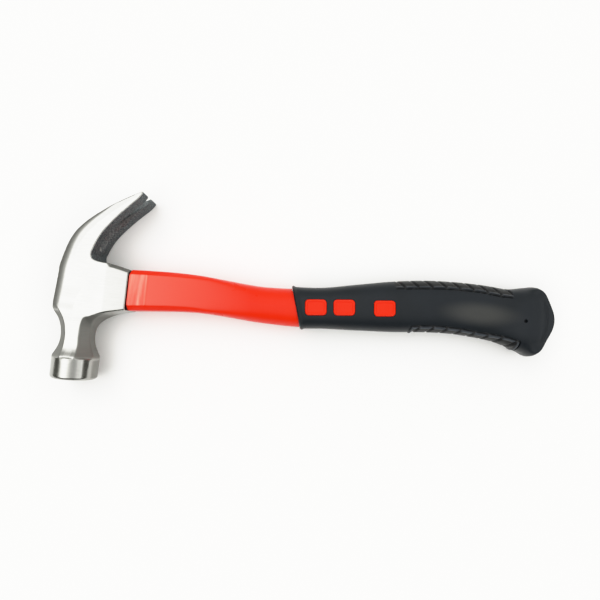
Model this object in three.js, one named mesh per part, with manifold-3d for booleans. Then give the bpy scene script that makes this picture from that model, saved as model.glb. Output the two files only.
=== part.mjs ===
// Claw hammer: a forged steel head bonded to a fibreglass core, with a moulded jacket and a soft grip.
// Millimetres. The hammer lies on its side: +X runs from the head to the butt, +Y from the striking face
// to the claw, and +Z up through its thickness. The layout's zero is the centre of the eye, on the
// mid-plane; the last lines move the whole tool so that the middle of its base is the origin.
import * as THREE from 'three';
import { mergeVertices } from 'three/addons/utils/BufferGeometryUtils.js';
import Module from 'manifold-3d';

const wasm = await Module();
wasm.setup();

// Driving dimensions
const GAP = 0.3;                    // clearance between touching pieces
const REACH = 80;                   // longer than any cut has to be

const CROWN_X = -15;                // outer side of the cheek, the end of the eye
const SOCKET_END_X = 32;            // where the socket meets the handle
const CHEEK_HALF = 12.3;            // half thickness of the cheek
const CROWN_CHAMFER = 3.6;          // bevel along the crown
const SOCKET_END_HALF = 11.4;       // half thickness of the socket at its end
const CLAW_TIP_HALF = 14.3;         // half width over the two prongs at their tips

const BELL_RADIUS = 14.3;
const FACE_Y = -60;                 // striking face
const FACE_CHAMFER = 1.4;
const BELL_TOP_Y = -46;
const NECK_TOP_Y = -17;
const NECK_FLATS = 18;              // across the flats of the octagonal neck at its waist

const SLOT_ROOT = new THREE.Vector2(7.6, 29);
const SLOT_TIP = new THREE.Vector2(36.8, 63.6);
const SLOT_ROOT_WIDTH = 1.6;
const SLOT_TIP_WIDTH = 6.6;

const CORE_HEIGHT = 15;
const CORE_THICKNESS = 10.6;
const CORE_CORNER = 3;
const CORE_START_X = -9;
const CORE_END_X = 291;
const CORE_DROP = -0.95;            // height of the core's middle at the centre of the eye
const CORE_TILT = THREE.MathUtils.degToRad(0.71);

const EYE_HEIGHT = { crown: 22.6, socket: 20.6 };
const EYE_THICKNESS = { crown: 16.8, socket: 15 };
const CAP_THICKNESS = 1.8;
const CAP_SINK = 1.6;               // depth of the cap's face below the crown
const BOND_SINK = 3.4;              // depth of the epoxy's end below the crown
const SEAL_THICKNESS = 0.6;
const SEAL_HEIGHT = 26;
const SEAL_WIDTH = 20.1;

const JACKET_START_X = SOCKET_END_X + SEAL_THICKNESS + 2 * GAP;
const UNDERBODY_END_X = 297.5;
const GRIP_WALL = 2.8;
const SEAM_TOP = new THREE.Vector2(137, 11.5);
const SEAM_BOTTOM = new THREE.Vector2(144.8, -16.3);

const WINDOW = { length: 13.6, height: 10, corner: 2.3, tilt: THREE.MathUtils.degToRad(4.5) };
const WINDOW_CENTRES = [[153.6, -0.6], [171.8, 0.8], [197.7, 2.4]];
const WINDOW_GAP = 0.4;
const PAD_PROUD = 0.15;

// Handle outline: [x, y] along the claw side and the face side, [x, half thickness] and
// [x, squareness], where 2 is an ellipse and a higher number is nearer to a rectangle
const JACKET = {
  top: [[30, 13.7], [46, 14.2], [62, 14.4], [78, 13.9], [92, 12.9], [104, 12], [115, 11.4],
    [128, 11.7], [150, 12.8]],
  bottom: [[30, -13.2], [46, -12], [62, -10.9], [76, -10.5], [92, -11.4], [106, -13], [119, -14.4],
    [133, -15.1], [150, -15]],
  half: [[30, 10.9], [60, 10.5], [90, 10.3], [120, 10.6], [150, 11]],
  square: [[30, 7], [60, 5.4], [90, 3.6], [120, 2.8], [150, 2.6]],
};
const GRIP = {
  top: [[134, 12.2], [156, 13.2], [180, 17.4], [204, 21.6], [228, 24.2], [252, 24.7], [268, 24], [280, 23],
    [291.6, 24.9], [297.4, 25.6], [301, 24], [306.6, 15.4], [310, 5.4]],
  bottom: [[134, -16.2], [156, -14.1], [182, -13.1], [206, -12.1], [230, -10.3], [244, -10], [258, -10.8],
    [276, -13.4], [291, -18.5], [296.6, -20.7], [301.4, -18.7], [306, -12.8], [310, 2]],
  half: [[134, 11.6], [157, 11.6], [190, 12.2], [235, 12.9], [262, 12.6], [280, 13], [293, 14.3], [300, 13.9],
    [306, 10.8], [310, 6.5]],
  square: [[134, 2.7], [157, 2.5], [235, 2.3], [285, 2.5], [310, 2.6]],
};

// Solids, joins and cuts

function solidOf(geometry) {
  const bare = geometry.clone();
  bare.deleteAttribute('normal');
  bare.deleteAttribute('uv');
  const merged = mergeVertices(bare, 1e-4);
  return new wasm.Manifold(new wasm.Mesh({
    numProp: 3,
    vertProperties: new Float32Array(merged.attributes.position.array),
    triVerts: new Uint32Array(merged.index.array),
  }));
}

function geometryOf(solid) {
  const mesh = solid.getMesh();
  const geometry = new THREE.BufferGeometry();
  geometry.setAttribute('position', new THREE.BufferAttribute(new Float32Array(mesh.vertProperties), 3));
  geometry.setIndex(new THREE.BufferAttribute(new Uint32Array(mesh.triVerts), 1));
  return geometry;
}

function interpolated(pairs) {
  const places = pairs.map((pair) => pair[0]);
  const values = pairs.map((pair) => pair[1]);
  const spline = new THREE.CubicInterpolant(places, values, 1, new Float32Array(1));
  return (x) => spline.evaluate(x)[0];
}

// Outline drawn in X and Y, extruded through the thickness
function plate(shape, halfThickness, curveSegments = 12) {
  const options = { depth: 2 * halfThickness, bevelEnabled: false, curveSegments };
  const geometry = new THREE.ExtrudeGeometry(shape, options);
  return geometry.translate(0, 0, -halfThickness);
}

// Outline drawn in X and Z, extruded along Y from low to high
function wall(shape, low, high) {
  const geometry = new THREE.ExtrudeGeometry(shape, { depth: high - low, bevelEnabled: false });
  return geometry.rotateX(Math.PI / 2).translate(0, high, 0);
}

// Outline drawn in Y and Z, extruded along X from low to high
function bar(shape, low, high, curveSegments = 6) {
  const options = { depth: high - low, bevelEnabled: false, curveSegments };
  const geometry = new THREE.ExtrudeGeometry(shape, options);
  const turn = new THREE.Matrix4().makeBasis(
    new THREE.Vector3(0, 1, 0),
    new THREE.Vector3(0, 0, 1),
    new THREE.Vector3(1, 0, 0),
  );
  return geometry.applyMatrix4(turn).translate(low, 0, 0);
}

// Closed skin through rings of points that turn right-handed about the way the rings advance
function loft(rings) {
  const count = rings[0].length;
  const points = rings.flat();
  const faces = [];
  for (let i = 0; i + 1 < rings.length; i += 1) {
    for (let j = 0; j < count; j += 1) {
      const a = i * count + j;
      const b = i * count + ((j + 1) % count);
      faces.push(a, b, b + count, a, b + count, a + count);
    }
  }
  const last = (rings.length - 1) * count;
  for (let j = 1; j + 1 < count; j += 1) {
    faces.push(0, j + 1, j);
    faces.push(last, last + j, last + j + 1);
  }
  const geometry = new THREE.BufferGeometry().setFromPoints(points);
  geometry.setIndex(faces);
  return geometry;
}

function roundedRectangle(width, height, corner) {
  const x = width / 2;
  const y = height / 2;
  const shape = new THREE.Shape();
  shape.moveTo(-x + corner, -y);
  shape.lineTo(x - corner, -y);
  shape.absarc(x - corner, -y + corner, corner, -Math.PI / 2, 0);
  shape.lineTo(x, y - corner);
  shape.absarc(x - corner, y - corner, corner, 0, Math.PI / 2);
  shape.lineTo(-x + corner, y);
  shape.absarc(-x + corner, y - corner, corner, Math.PI / 2, Math.PI);
  shape.lineTo(-x, -y + corner);
  shape.absarc(-x + corner, -y + corner, corner, Math.PI, 1.5 * Math.PI);
  return shape;
}

function polygon(points) {
  return new THREE.Shape(points.map(([x, y]) => new THREE.Vector2(x, y)));
}

// Head

function cheekAndSocket() {
  const side = new THREE.Shape();
  side.moveTo(CROWN_X, -13);
  side.splineThru([[-14.9, -4], [-14.5, 4.3], [-13.6, 13.3]].map(([x, y]) => new THREE.Vector2(x, y)));
  side.lineTo(-11.9, 20);
  side.lineTo(7.3, 21);
  side.quadraticCurveTo(8, 17.4, 13.2, 16.8);
  side.lineTo(21, 15.9);
  side.lineTo(SOCKET_END_X, 13.4);
  side.lineTo(SOCKET_END_X, -13.3);
  side.lineTo(20.8, -15.8);
  side.quadraticCurveTo(11.6, -18, 9.6, -27);
  side.lineTo(-9.6, -27);
  side.quadraticCurveTo(-9.9, -19, CROWN_X, -13);
  const plan = polygon([
    [CROWN_X - 2, -CHEEK_HALF + CROWN_CHAMFER + 2], [CROWN_X - 2, CHEEK_HALF - CROWN_CHAMFER - 2],
    [CROWN_X + CROWN_CHAMFER, CHEEK_HALF], [18, CHEEK_HALF], [SOCKET_END_X + 1, SOCKET_END_HALF],
    [SOCKET_END_X + 1, -SOCKET_END_HALF], [18, -CHEEK_HALF], [CROWN_X + CROWN_CHAMFER, -CHEEK_HALF],
  ]);
  const end = polygon([
    [-26, -8.6], [-18, -CHEEK_HALF], [13.4, -CHEEK_HALF], [22, -CHEEK_HALF + 1],
    [22, CHEEK_HALF - 1], [13.4, CHEEK_HALF], [-18, CHEEK_HALF], [-26, 8.6],
  ]);
  return solidOf(plate(side, REACH / 2, 6))
    .intersect(solidOf(wall(plan, -REACH, REACH)))
    .intersect(solidOf(bar(end, -REACH, REACH)));
}

function claw() {
  const side = new THREE.Shape();
  side.moveTo(-13.9, 9);
  side.splineThru([
    [-13.6, 13.3], [-11.7, 20.8], [-8.6, 28.9], [-4.6, 35.4], [0.6, 40.8], [5.8, 45.3], [11, 49.2],
    [16.6, 53], [22.6, 56.6], [29.6, 60.6], [36.2, 64.1],
  ].map(([x, y]) => new THREE.Vector2(x, y)));
  side.lineTo(37, 63);
  side.splineThru([
    [35.2, 60.2], [29.6, 54.4], [24, 48.7], [18.7, 42.7], [14.1, 36.8], [10.9, 31.3], [8.6, 25.6],
    [7.5, 20.9],
  ].map(([x, y]) => new THREE.Vector2(x, y)));
  side.lineTo(7.2, 9);
  const end = polygon([
    [0, -CHEEK_HALF], [22, -CHEEK_HALF], [65, -CLAW_TIP_HALF],
    [65, CLAW_TIP_HALF], [22, CHEEK_HALF], [0, CHEEK_HALF],
  ]);
  return solidOf(plate(side, REACH / 2, 3)).intersect(solidOf(bar(end, -REACH, REACH)));
}

// V between the prongs, cut square to the line from its root to the tips
function nailSlot() {
  const run = SLOT_TIP.clone().sub(SLOT_ROOT);
  const length = run.length();
  const flare = (SLOT_TIP_WIDTH - SLOT_ROOT_WIDTH) / 2 / length;
  const root = SLOT_ROOT_WIDTH / 2;
  const past = length + 6;
  const mouth = root + flare * past;
  const shape = new THREE.Shape();
  shape.moveTo(past, -mouth);
  shape.lineTo(past, mouth);
  shape.lineTo(0, root);
  shape.absarc(0, 0, root, Math.PI / 2, 1.5 * Math.PI);
  const along = new THREE.Vector3(run.x, run.y, 0).normalize();
  const across = new THREE.Vector3(0, 0, 1);
  const through = new THREE.Vector3().crossVectors(along, across);
  const turn = new THREE.Matrix4().makeBasis(along, across, through);
  const geometry = new THREE.ExtrudeGeometry(shape, { depth: REACH, bevelEnabled: false, curveSegments: 3 });
  geometry.translate(0, 0, -REACH / 2).applyMatrix4(turn);
  return solidOf(geometry.translate(SLOT_ROOT.x, SLOT_ROOT.y, 0));
}

function neck() {
  const stations = [
    [NECK_TOP_Y, 22.4], [-21, 20.8], [-27, NECK_FLATS + 0.2], [-33, NECK_FLATS], [-38.5, 20.4], [-42.5, 23.4],
    [BELL_TOP_Y - 1, 26.4],
  ];
  const rings = stations.map(([y, flats]) => {
    const radius = flats / 2 / Math.cos(Math.PI / 8);
    return Array.from({ length: 8 }, (_, k) => {
      const angle = (k + 0.5) * Math.PI / 4;
      return new THREE.Vector3(radius * Math.cos(angle), y, radius * Math.sin(angle));
    });
  });
  return solidOf(loft(rings));
}

function bell() {
  const profile = [
    [0, FACE_Y], [BELL_RADIUS - FACE_CHAMFER, FACE_Y], [BELL_RADIUS, FACE_Y + FACE_CHAMFER],
    [BELL_RADIUS, BELL_TOP_Y],
    [12.9, BELL_TOP_Y + 2], [11, BELL_TOP_Y + 5], [0, BELL_TOP_Y + 8],
  ].map(([x, y]) => new THREE.Vector2(x, y));
  return solidOf(new THREE.LatheGeometry(profile, 56));
}

// Tapered block that fills the eye, grown or shrunk all round by an offset, between two X stations
function eyeBlock(offset, low, high) {
  const share = (x) => (x - CROWN_X) / (SOCKET_END_X - CROWN_X);
  const rings = [low, high].map((x) => {
    const height = THREE.MathUtils.lerp(EYE_HEIGHT.crown, EYE_HEIGHT.socket, share(x)) + 2 * offset;
    const thickness = THREE.MathUtils.lerp(EYE_THICKNESS.crown, EYE_THICKNESS.socket, share(x)) + 2 * offset;
    const outline = roundedRectangle(height, thickness, CORE_CORNER).getPoints(3);
    return outline.slice(0, -1).map((point) => new THREE.Vector3(x, point.x, point.y));
  });
  return solidOf(loft(rings));
}

function hammerHead() {
  return cheekAndSocket()
    .add(claw())
    .add(neck())
    .add(bell())
    .subtract(nailSlot())
    .subtract(eyeBlock(0, CROWN_X - 3, SOCKET_END_X + 3));
}

// Inside the handle

function coreBlock(offset, start = CORE_START_X, end = CORE_END_X) {
  const shape = roundedRectangle(CORE_HEIGHT + 2 * offset, CORE_THICKNESS + 2 * offset, CORE_CORNER + offset);
  return solidOf(bar(shape, start, end).rotateZ(CORE_TILT).translate(0, CORE_DROP, 0));
}

function epoxyBond() {
  return eyeBlock(-GAP, CROWN_X + BOND_SINK + GAP, SOCKET_END_X - GAP)
    .subtract(coreBlock(GAP, CORE_START_X - REACH));
}

function eyeCap() {
  return eyeBlock(-GAP, CROWN_X + CAP_SINK, CROWN_X + CAP_SINK + CAP_THICKNESS);
}

function eyeSeal() {
  const start = SOCKET_END_X + GAP;
  const outline = roundedRectangle(SEAL_HEIGHT, SEAL_WIDTH, CORE_CORNER);
  return solidOf(bar(outline, start, start + SEAL_THICKNESS)).subtract(coreBlock(GAP));
}

// Handle skins

function handleRing(x, low, high, half, squareness, sides) {
  const centre = (high + low) / 2;
  const reach = (high - low) / 2;
  const bend = (value) => Math.sign(value) * Math.abs(value) ** (2 / squareness);
  return Array.from({ length: sides }, (_, k) => {
    const angle = (k / sides) * 2 * Math.PI;
    return new THREE.Vector3(x, centre + reach * bend(Math.cos(angle)), half * bend(Math.sin(angle)));
  });
}

function handleSkin(outline, stations, inset, sides) {
  const top = interpolated(outline.top);
  const bottom = interpolated(outline.bottom);
  const half = interpolated(outline.half);
  const square = interpolated(outline.square);
  return solidOf(loft(stations.map((x) => (
    handleRing(x, bottom(x) + inset, top(x) - inset, half(x) - inset, square(x), sides)
  ))));
}

function stationsBetween(start, end, count) {
  return Array.from({ length: count + 1 }, (_, k) => start + ((end - start) * k) / count);
}

// Everything on the butt's side of the slanted seam, moved by a shift along X
function buttSide(shift) {
  const slope = (SEAM_BOTTOM.x - SEAM_TOP.x) / (SEAM_BOTTOM.y - SEAM_TOP.y);
  const far = 5 * REACH;
  const shape = polygon([
    [SEAM_TOP.x + shift + slope * REACH, SEAM_TOP.y + REACH],
    [SEAM_BOTTOM.x + shift - slope * REACH, SEAM_BOTTOM.y - REACH],
    [far, -REACH], [far, REACH],
  ]);
  return solidOf(plate(shape, REACH));
}

function underbody(growth) {
  const stations = [...stationsBetween(130, 285, 18), 290, 294, UNDERBODY_END_X + growth];
  return handleSkin(GRIP, stations, GRIP_WALL - growth, 24);
}

function windowPrisms(growth) {
  const length = WINDOW.length + 2 * growth;
  const shape = roundedRectangle(length, WINDOW.height + 2 * growth, WINDOW.corner + growth);
  const prisms = WINDOW_CENTRES.map(([x, y]) => (
    solidOf(plate(shape, REACH / 2, 4).rotateZ(WINDOW.tilt).translate(x, y, 0))
  ));
  return prisms.reduce((all, prism) => all.add(prism));
}

function handleJacket() {
  const front = handleSkin(JACKET, stationsBetween(JACKET_START_X, 150, 18), 0, 32).subtract(buttSide(0));
  const proud = handleSkin(GRIP, stationsBetween(142, 212, 14), -PAD_PROUD, 32);
  return front
    .add(underbody(0))
    .add(proud.intersect(windowPrisms(0)))
    .subtract(coreBlock(GAP, JACKET_START_X - 5, CORE_END_X + GAP));
}

function softGrip() {
  const stations = [...stationsBetween(134, 284, 26), ...stationsBetween(286.5, 309, 10), 310];
  return handleSkin(GRIP, stations, 0, 36)
    .intersect(buttSide(GAP))
    .subtract(underbody(GAP))
    .subtract(windowPrisms(WINDOW_GAP));
}

// Assembly

function piece(name, solid, color, roughness, metalness) {
  const material = new THREE.MeshStandardMaterial({ color, roughness, metalness });
  const mesh = new THREE.Mesh(geometryOf(solid), material);
  mesh.name = name;
  return mesh;
}

const hammer = new THREE.Group();
hammer.add(
  piece('hammer_head', hammerHead(), 0xc4c6c8, 0.3, 1),
  piece('epoxy_bond', epoxyBond(), 0x8a7a4c, 0.4, 0),
  piece('eye_cap', eyeCap(), 0x1c1c1e, 0.5, 0),
  piece('eye_seal', eyeSeal(), 0x141414, 0.7, 0),
  piece('fibreglass_core', coreBlock(0), 0xc9bd8b, 0.55, 0),
  piece('handle_jacket', handleJacket(), 0xf0381c, 0.3, 0),
  piece('soft_grip', softGrip(), 0x23262b, 0.75, 0),
);

const bounds = new THREE.Box3().setFromObject(hammer);
const middle = bounds.getCenter(new THREE.Vector3());
hammer.position.set(-middle.x, -middle.y, -bounds.min.z);

export default hammer;
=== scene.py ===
"""Claw hammer: forged steel head, fibreglass core, polypropylene jacket and soft rubber grip."""

import logging
import math
from dataclasses import dataclass, field
from enum import Enum
from typing import Callable

import bpy
import numpy as np
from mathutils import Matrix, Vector


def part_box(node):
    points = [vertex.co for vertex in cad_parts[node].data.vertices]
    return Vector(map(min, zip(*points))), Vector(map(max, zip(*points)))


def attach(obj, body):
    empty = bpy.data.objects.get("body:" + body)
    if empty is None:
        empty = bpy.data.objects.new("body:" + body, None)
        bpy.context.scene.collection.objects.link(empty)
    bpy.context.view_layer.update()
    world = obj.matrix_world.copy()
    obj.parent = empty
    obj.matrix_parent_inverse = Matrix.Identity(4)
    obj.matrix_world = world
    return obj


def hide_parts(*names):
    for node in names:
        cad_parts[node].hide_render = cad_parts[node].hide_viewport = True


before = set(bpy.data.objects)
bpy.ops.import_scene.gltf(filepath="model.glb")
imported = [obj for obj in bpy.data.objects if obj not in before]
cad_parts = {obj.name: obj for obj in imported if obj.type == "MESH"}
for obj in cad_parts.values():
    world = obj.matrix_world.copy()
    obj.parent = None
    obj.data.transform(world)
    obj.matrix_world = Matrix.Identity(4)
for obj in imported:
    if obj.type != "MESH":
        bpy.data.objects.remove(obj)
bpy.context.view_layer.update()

MM = 0.001
LOG = logging.getLogger("hammer")

CROWN_TO_EYE = 15.0          # mm, from the crown's outermost point to the centre of the eye
ROOT = "root"

Span = tuple[float, float]
Points = list[Span]
Array = np.ndarray
Piece = bpy.types.Object
Tree = bpy.types.NodeTree
Node = bpy.types.Node
Socket = bpy.types.NodeSocket


class Side(Enum):
    """The two broad sides of the tool as it lies."""

    UPPER = 1
    LOWER = -1


def eye_centre() -> Vector:
    """Returns the centre of the eye in the shared frame, in metres."""
    low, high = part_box("eye_cap")
    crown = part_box("hammer_head")[0].x
    return Vector((crown + CROWN_TO_EYE * MM, (low.y + high.y) / 2, (low.z + high.z) / 2))


def to_frame(places: Array) -> Array:
    """Turns millimetres from the eye's centre into metres in the shared frame."""
    return places * MM + np.array(eye_centre())


def from_frame(places: Array) -> Array:
    """Turns metres in the shared frame into millimetres from the eye's centre."""
    return (places - np.array(eye_centre())) / MM


# Curves and fields of distance


def smooth_step(low: float, high: float, value: Array) -> Array:
    """Returns 0 below low, 1 above high and an S-curve between."""
    share = np.clip((value - low) / (high - low), 0.0, 1.0)
    return share * share * (3.0 - 2.0 * share)


def band(rise: Span, fall: Span, value: Array) -> Array:
    """Returns 1 between a smooth rise and a smooth fall, and 0 outside them."""
    return smooth_step(*rise, value) * (1.0 - smooth_step(*fall, value))


def smooth_max(a: Array, b: Array, width: float) -> Array:
    """Returns the larger of two fields, with their crossing rounded over a width."""
    share = np.clip(0.5 + 0.5 * (a - b) / width, 0.0, 1.0)
    return b + (a - b) * share + width * share * (1.0 - share)


def smooth_min(a: Array, b: Array, width: float) -> Array:
    """Returns the smaller of two fields, with their crossing filleted over a width."""
    return -smooth_max(-a, -b, width)


def rounded_corner(a: Array, b: Array, radius: Array) -> Array:
    """Rounds the corner of the overlap of two solids.

    Args:
        a: how far places are outside the first solid.
        b: how far they are outside the second one.
        radius: the radius of the round along their corner.

    Returns:
        How far the places are outside the rounded overlap.
    """
    grown_a, grown_b = a + radius, b + radius
    outside = np.hypot(np.maximum(grown_a, 0.0), np.maximum(grown_b, 0.0))
    return np.minimum(np.maximum(grown_a, grown_b), 0.0) + outside - radius


def chamfered_corner(a: Array, b: Array, leg: Array, soft: float) -> Array:
    """Returns the overlap of two solids with a 45 degree chamfer along their corner."""
    return smooth_max(smooth_max(a, b, soft), (a + b + leg) / math.sqrt(2.0), soft)


@dataclass(frozen=True)
class Curve:
    """A smooth curve through pairs of a place and a value."""

    pairs: Points

    def __call__(self, place: Array) -> Array:
        """Returns the values at the given places.

        Args:
            place: where to read the curve.

        Returns:
            The value of the curve at each place, held level past the ends.
        """
        x = np.array([pair[0] for pair in self.pairs])
        y = np.array([pair[1] for pair in self.pairs])
        secant = np.diff(y) / np.diff(x)
        slope = np.empty_like(y)
        slope[1:-1] = (secant[:-1] * np.diff(x)[1:] + secant[1:] * np.diff(x)[:-1]) / (x[2:] - x[:-2])
        slope[0], slope[-1] = secant[0], secant[-1]
        at = np.clip(place, x[0], x[-1])
        i = np.clip(np.searchsorted(x, at, side="right") - 1, 0, len(x) - 2)
        span = x[i + 1] - x[i]
        t = (at - x[i]) / span
        return (
            y[i] * (1 + 2 * t) * (1 - t) ** 2
            + y[i + 1] * t * t * (3 - 2 * t)
            + span * (slope[i] * t * (1 - t) ** 2 - slope[i + 1] * t * t * (1 - t))
        )


def traced(points: Points, steps: int = 5) -> Array:
    """Draws a smooth line through points.

    Args:
        points: the points in order.
        steps: how many short runs stand between two points.

    Returns:
        A dense polyline, smooth over the length of the straight runs from point to point.
    """
    known = np.array(points, float)
    gaps = np.linalg.norm(np.diff(known, axis=0), axis=1)
    along = np.concatenate([[0.0], np.cumsum(gaps)])
    dense = np.concatenate([
        np.linspace(along[i], along[i + 1], steps, endpoint=False) for i in range(len(gaps))
    ] + [[along[-1]]])
    column = [Curve(list(zip(along, known[:, k]))) for k in range(2)]
    return np.stack([column[0](dense), column[1](dense)], axis=1)


def distance_to_line(places: Array, line: Array) -> Array:
    """Measures how far 2-D places are from an open polyline.

    Args:
        places: the places, one row each.
        line: the polyline's points in order.

    Returns:
        The distance of each place from the nearest part of the line.
    """
    start, run = line[:-1], np.diff(line, axis=0)
    best = np.full(len(places), np.inf)
    for origin, step in zip(start, run):
        offset = places - origin
        share = np.clip(offset @ step / (step @ step), 0.0, 1.0)
        gap = offset - share[:, None] * step
        best = np.minimum(best, np.einsum("ij,ij->i", gap, gap))
    return np.sqrt(best)


def inside_loop(places: Array, loop: Array) -> Array:
    """Finds which 2-D places are inside a closed polyline.

    Args:
        places: the places, one row each.
        loop: the polyline's points in order.

    Returns:
        True for each place that is inside.
    """
    inside = np.zeros(len(places), bool)
    x, y = places[:, 0], places[:, 1]
    for (x0, y0), (x1, y1) in zip(loop, np.roll(loop, -1, axis=0)):
        if y0 == y1:
            continue
        crosses = ((y0 > y) != (y1 > y)) & (x < (x1 - x0) * (y - y0) / (y1 - y0) + x0)
        inside ^= crosses
    return inside


@dataclass
class Grid:
    """A 2-D field read from a regular grid of samples."""

    low: tuple[float, float]
    high: tuple[float, float]
    pitch: float
    samples: Array = field(init=False)
    shape: tuple[int, int] = field(init=False)

    def places(self) -> Array:
        """Returns the grid's places, one row each."""
        x = np.arange(self.low[0], self.high[0] + self.pitch, self.pitch)
        y = np.arange(self.low[1], self.high[1] + self.pitch, self.pitch)
        self.shape = (len(x), len(y))
        return np.stack(np.meshgrid(x, y, indexing="ij"), axis=-1).reshape(-1, 2)

    def fill(self, values: Array) -> "Grid":
        """Keeps one value for each of the places and returns the grid."""
        self.samples = values.reshape(self.shape)
        return self

    def __call__(self, x: Array, y: Array) -> Array:
        """Reads the field, mixed from the four samples round each place.

        Args:
            x: the places' first coordinate.
            y: their second coordinate.

        Returns:
            The field at each place.
        """
        u = np.clip((x - self.low[0]) / self.pitch, 0, self.shape[0] - 1.001)
        v = np.clip((y - self.low[1]) / self.pitch, 0, self.shape[1] - 1.001)
        i, j = u.astype(int), v.astype(int)
        s, t = u - i, v - j
        near = self.samples[i, j] * (1 - t) + self.samples[i, j + 1] * t
        far = self.samples[i + 1, j] * (1 - t) + self.samples[i + 1, j + 1] * t
        return near * (1 - s) + far * s


# Work on objects


def only(piece: Piece) -> None:
    """Deselects everything, then selects one object and makes it active."""
    bpy.ops.object.select_all(action="DESELECT")
    piece.select_set(True)
    bpy.context.view_layer.objects.active = piece


def start_edit(piece: Piece) -> None:
    """Opens a piece in edit mode with all of it selected."""
    only(piece)
    bpy.ops.object.mode_set(mode="EDIT")
    bpy.ops.mesh.select_all(action="SELECT")


def end_edit() -> None:
    """Goes back to object mode."""
    bpy.ops.object.mode_set(mode="OBJECT")


def edit_faces() -> None:
    """Opens the active piece in edit mode with the faces that were selected on it."""
    bpy.ops.object.mode_set(mode="EDIT")
    bpy.ops.mesh.select_mode(type="FACE")


def face_outward(piece: Piece) -> None:
    """Turns all faces of a closed piece outward."""
    start_edit(piece)
    bpy.ops.mesh.normals_make_consistent(inside=False)
    end_edit()


def copied(name: str, source: Piece) -> Piece:
    """Copies an object, with a mesh of its own.

    Args:
        name: the copy's name.
        source: the object to copy.

    Returns:
        The copy, linked into the scene.
    """
    piece = bpy.data.objects.new(name, source.data.copy())
    bpy.context.scene.collection.objects.link(piece)
    return piece


def apply_modifier(piece: Piece, kind: str, **settings: object) -> None:
    """Adds a modifier, sets it and applies it.

    Args:
        piece: the object to change.
        kind: the modifier's type.
        settings: the modifier's settings by name.
    """
    only(piece)
    modifier = piece.modifiers.new(kind.lower(), kind)
    for name, value in settings.items():
        setattr(modifier, name, value)
    bpy.ops.object.modifier_apply(modifier=modifier.name)


def apply_place(piece: Piece) -> None:
    """Puts a piece's place, turn and scale into its mesh."""
    only(piece)
    bpy.ops.object.transform_apply(location=True, rotation=True, scale=True)


def vertex_rows(piece: Piece, what: str = "co") -> Array:
    """Reads three numbers from each of a piece's vertices.

    Args:
        piece: the object to read.
        what: "co" for the places in metres or "normal" for the normals.

    Returns:
        One row for each vertex.
    """
    values = np.empty(len(piece.data.vertices) * 3)
    piece.data.vertices.foreach_get(what, values)
    return values.reshape(-1, 3)


def corners_of(piece: Piece) -> Array:
    """Returns the piece's vertex places in millimetres from the eye's centre."""
    return from_frame(vertex_rows(piece))


def set_corners(piece: Piece, places: Array) -> None:
    """Moves the piece's vertices to places in millimetres from the eye's centre."""
    piece.data.vertices.foreach_set("co", to_frame(places).ravel())
    piece.data.update()


def paint(piece: Piece, name: str, values: Array) -> None:
    """Stores one number per vertex for the piece's material to read."""
    layer = piece.data.attributes.new(name, "FLOAT", "POINT")
    layer.data.foreach_set("value", values.astype(np.float32))


def shade(piece: Piece, degrees: float) -> None:
    """Shades a piece smooth, but for edges sharper than an angle."""
    only(piece)
    bpy.ops.object.shade_smooth_by_angle(angle=math.radians(degrees))


def hand_over(piece: Piece, slot: str, *nodes: str) -> None:
    """Rides a finished piece on the tool's body in place of CAD nodes, and logs it.

    Args:
        piece: the finished object.
        slot: not used.
        nodes: the CAD nodes that the piece stands for.
    """
    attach(piece, ROOT)
    if nodes:
        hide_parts(*nodes)
    LOG.info("%s: %d faces", piece.name, len(piece.data.polygons))


def wrapped_skin(
    name: str, rings: int, around: int, place: Callable[[Array, Array], Array],
) -> Piece:
    """Wraps a flat grid into a closed skin.

    Args:
        name: the new object's name.
        rings: how many rings run from end to end.
        around: how many faces go round each ring.
        place: gives the x, y and z of each vertex from its ring number and its turn.

    Returns:
        The skin, closed at its seam and at both of its poles.
    """
    bpy.ops.object.select_all(action="DESELECT")
    bpy.ops.mesh.primitive_grid_add(x_subdivisions=rings - 1, y_subdivisions=around, size=1.0)
    piece = bpy.context.active_object
    piece.name = name
    flat = vertex_rows(piece)
    ring = np.rint((flat[:, 0] + 0.5) * (rings - 1)).astype(int)
    turn = np.rint((flat[:, 1] + 0.5) * around) % around / around * 2.0 * math.pi
    set_corners(piece, place(ring, turn))
    start_edit(piece)
    bpy.ops.mesh.remove_doubles(threshold=1e-7)
    bpy.ops.mesh.normals_make_consistent(inside=False)
    end_edit()
    return piece


# Finishes


def linear(colour: str) -> tuple[float, float, float, float]:
    """Turns an sRGB hex colour into a linear one.

    Args:
        colour: a hex colour such as "#23262B".

    Returns:
        Linear red, green and blue, and 1 for the alpha.
    """
    parts = [int(colour[i:i + 2], 16) / 255.0 for i in (1, 3, 5)]
    turned = [c / 12.92 if c <= 0.04045 else ((c + 0.055) / 1.055) ** 2.4 for c in parts]
    return (*turned, 1.0)


def add_node(
    tree: Tree, kind: str, inputs: dict | None = None, stops: list[tuple[float, str]] | None = None,
    **settings: object,
) -> Node:
    """Adds a node, with its settings, socket values and links.

    Args:
        tree: the node tree to add to.
        kind: the node's type name.
        inputs: socket name or number to a value, or to the output socket to link.
        stops: for a colour ramp, the place of each stop from 0 to 1 and its hex colour.
        settings: the node's own settings by name.

    Returns:
        The new node.
    """
    node = tree.nodes.new(kind)
    for name, value in settings.items():
        setattr(node, name, value)
    for name, value in (inputs or {}).items():
        if isinstance(value, Socket):
            tree.links.new(value, node.inputs[name])
        else:
            node.inputs[name].default_value = value
    for number, (position, colour) in enumerate(stops or ()):
        elements = node.color_ramp.elements
        element = elements[number] if number < len(elements) else elements.new(position)
        element.position = position
        element.color = linear(colour)
    return node


def per_metre(size_mm: float) -> float:
    """Returns the pattern scale that repeats once in a size in millimetres."""
    return 1.0 / (size_mm * MM)


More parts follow.
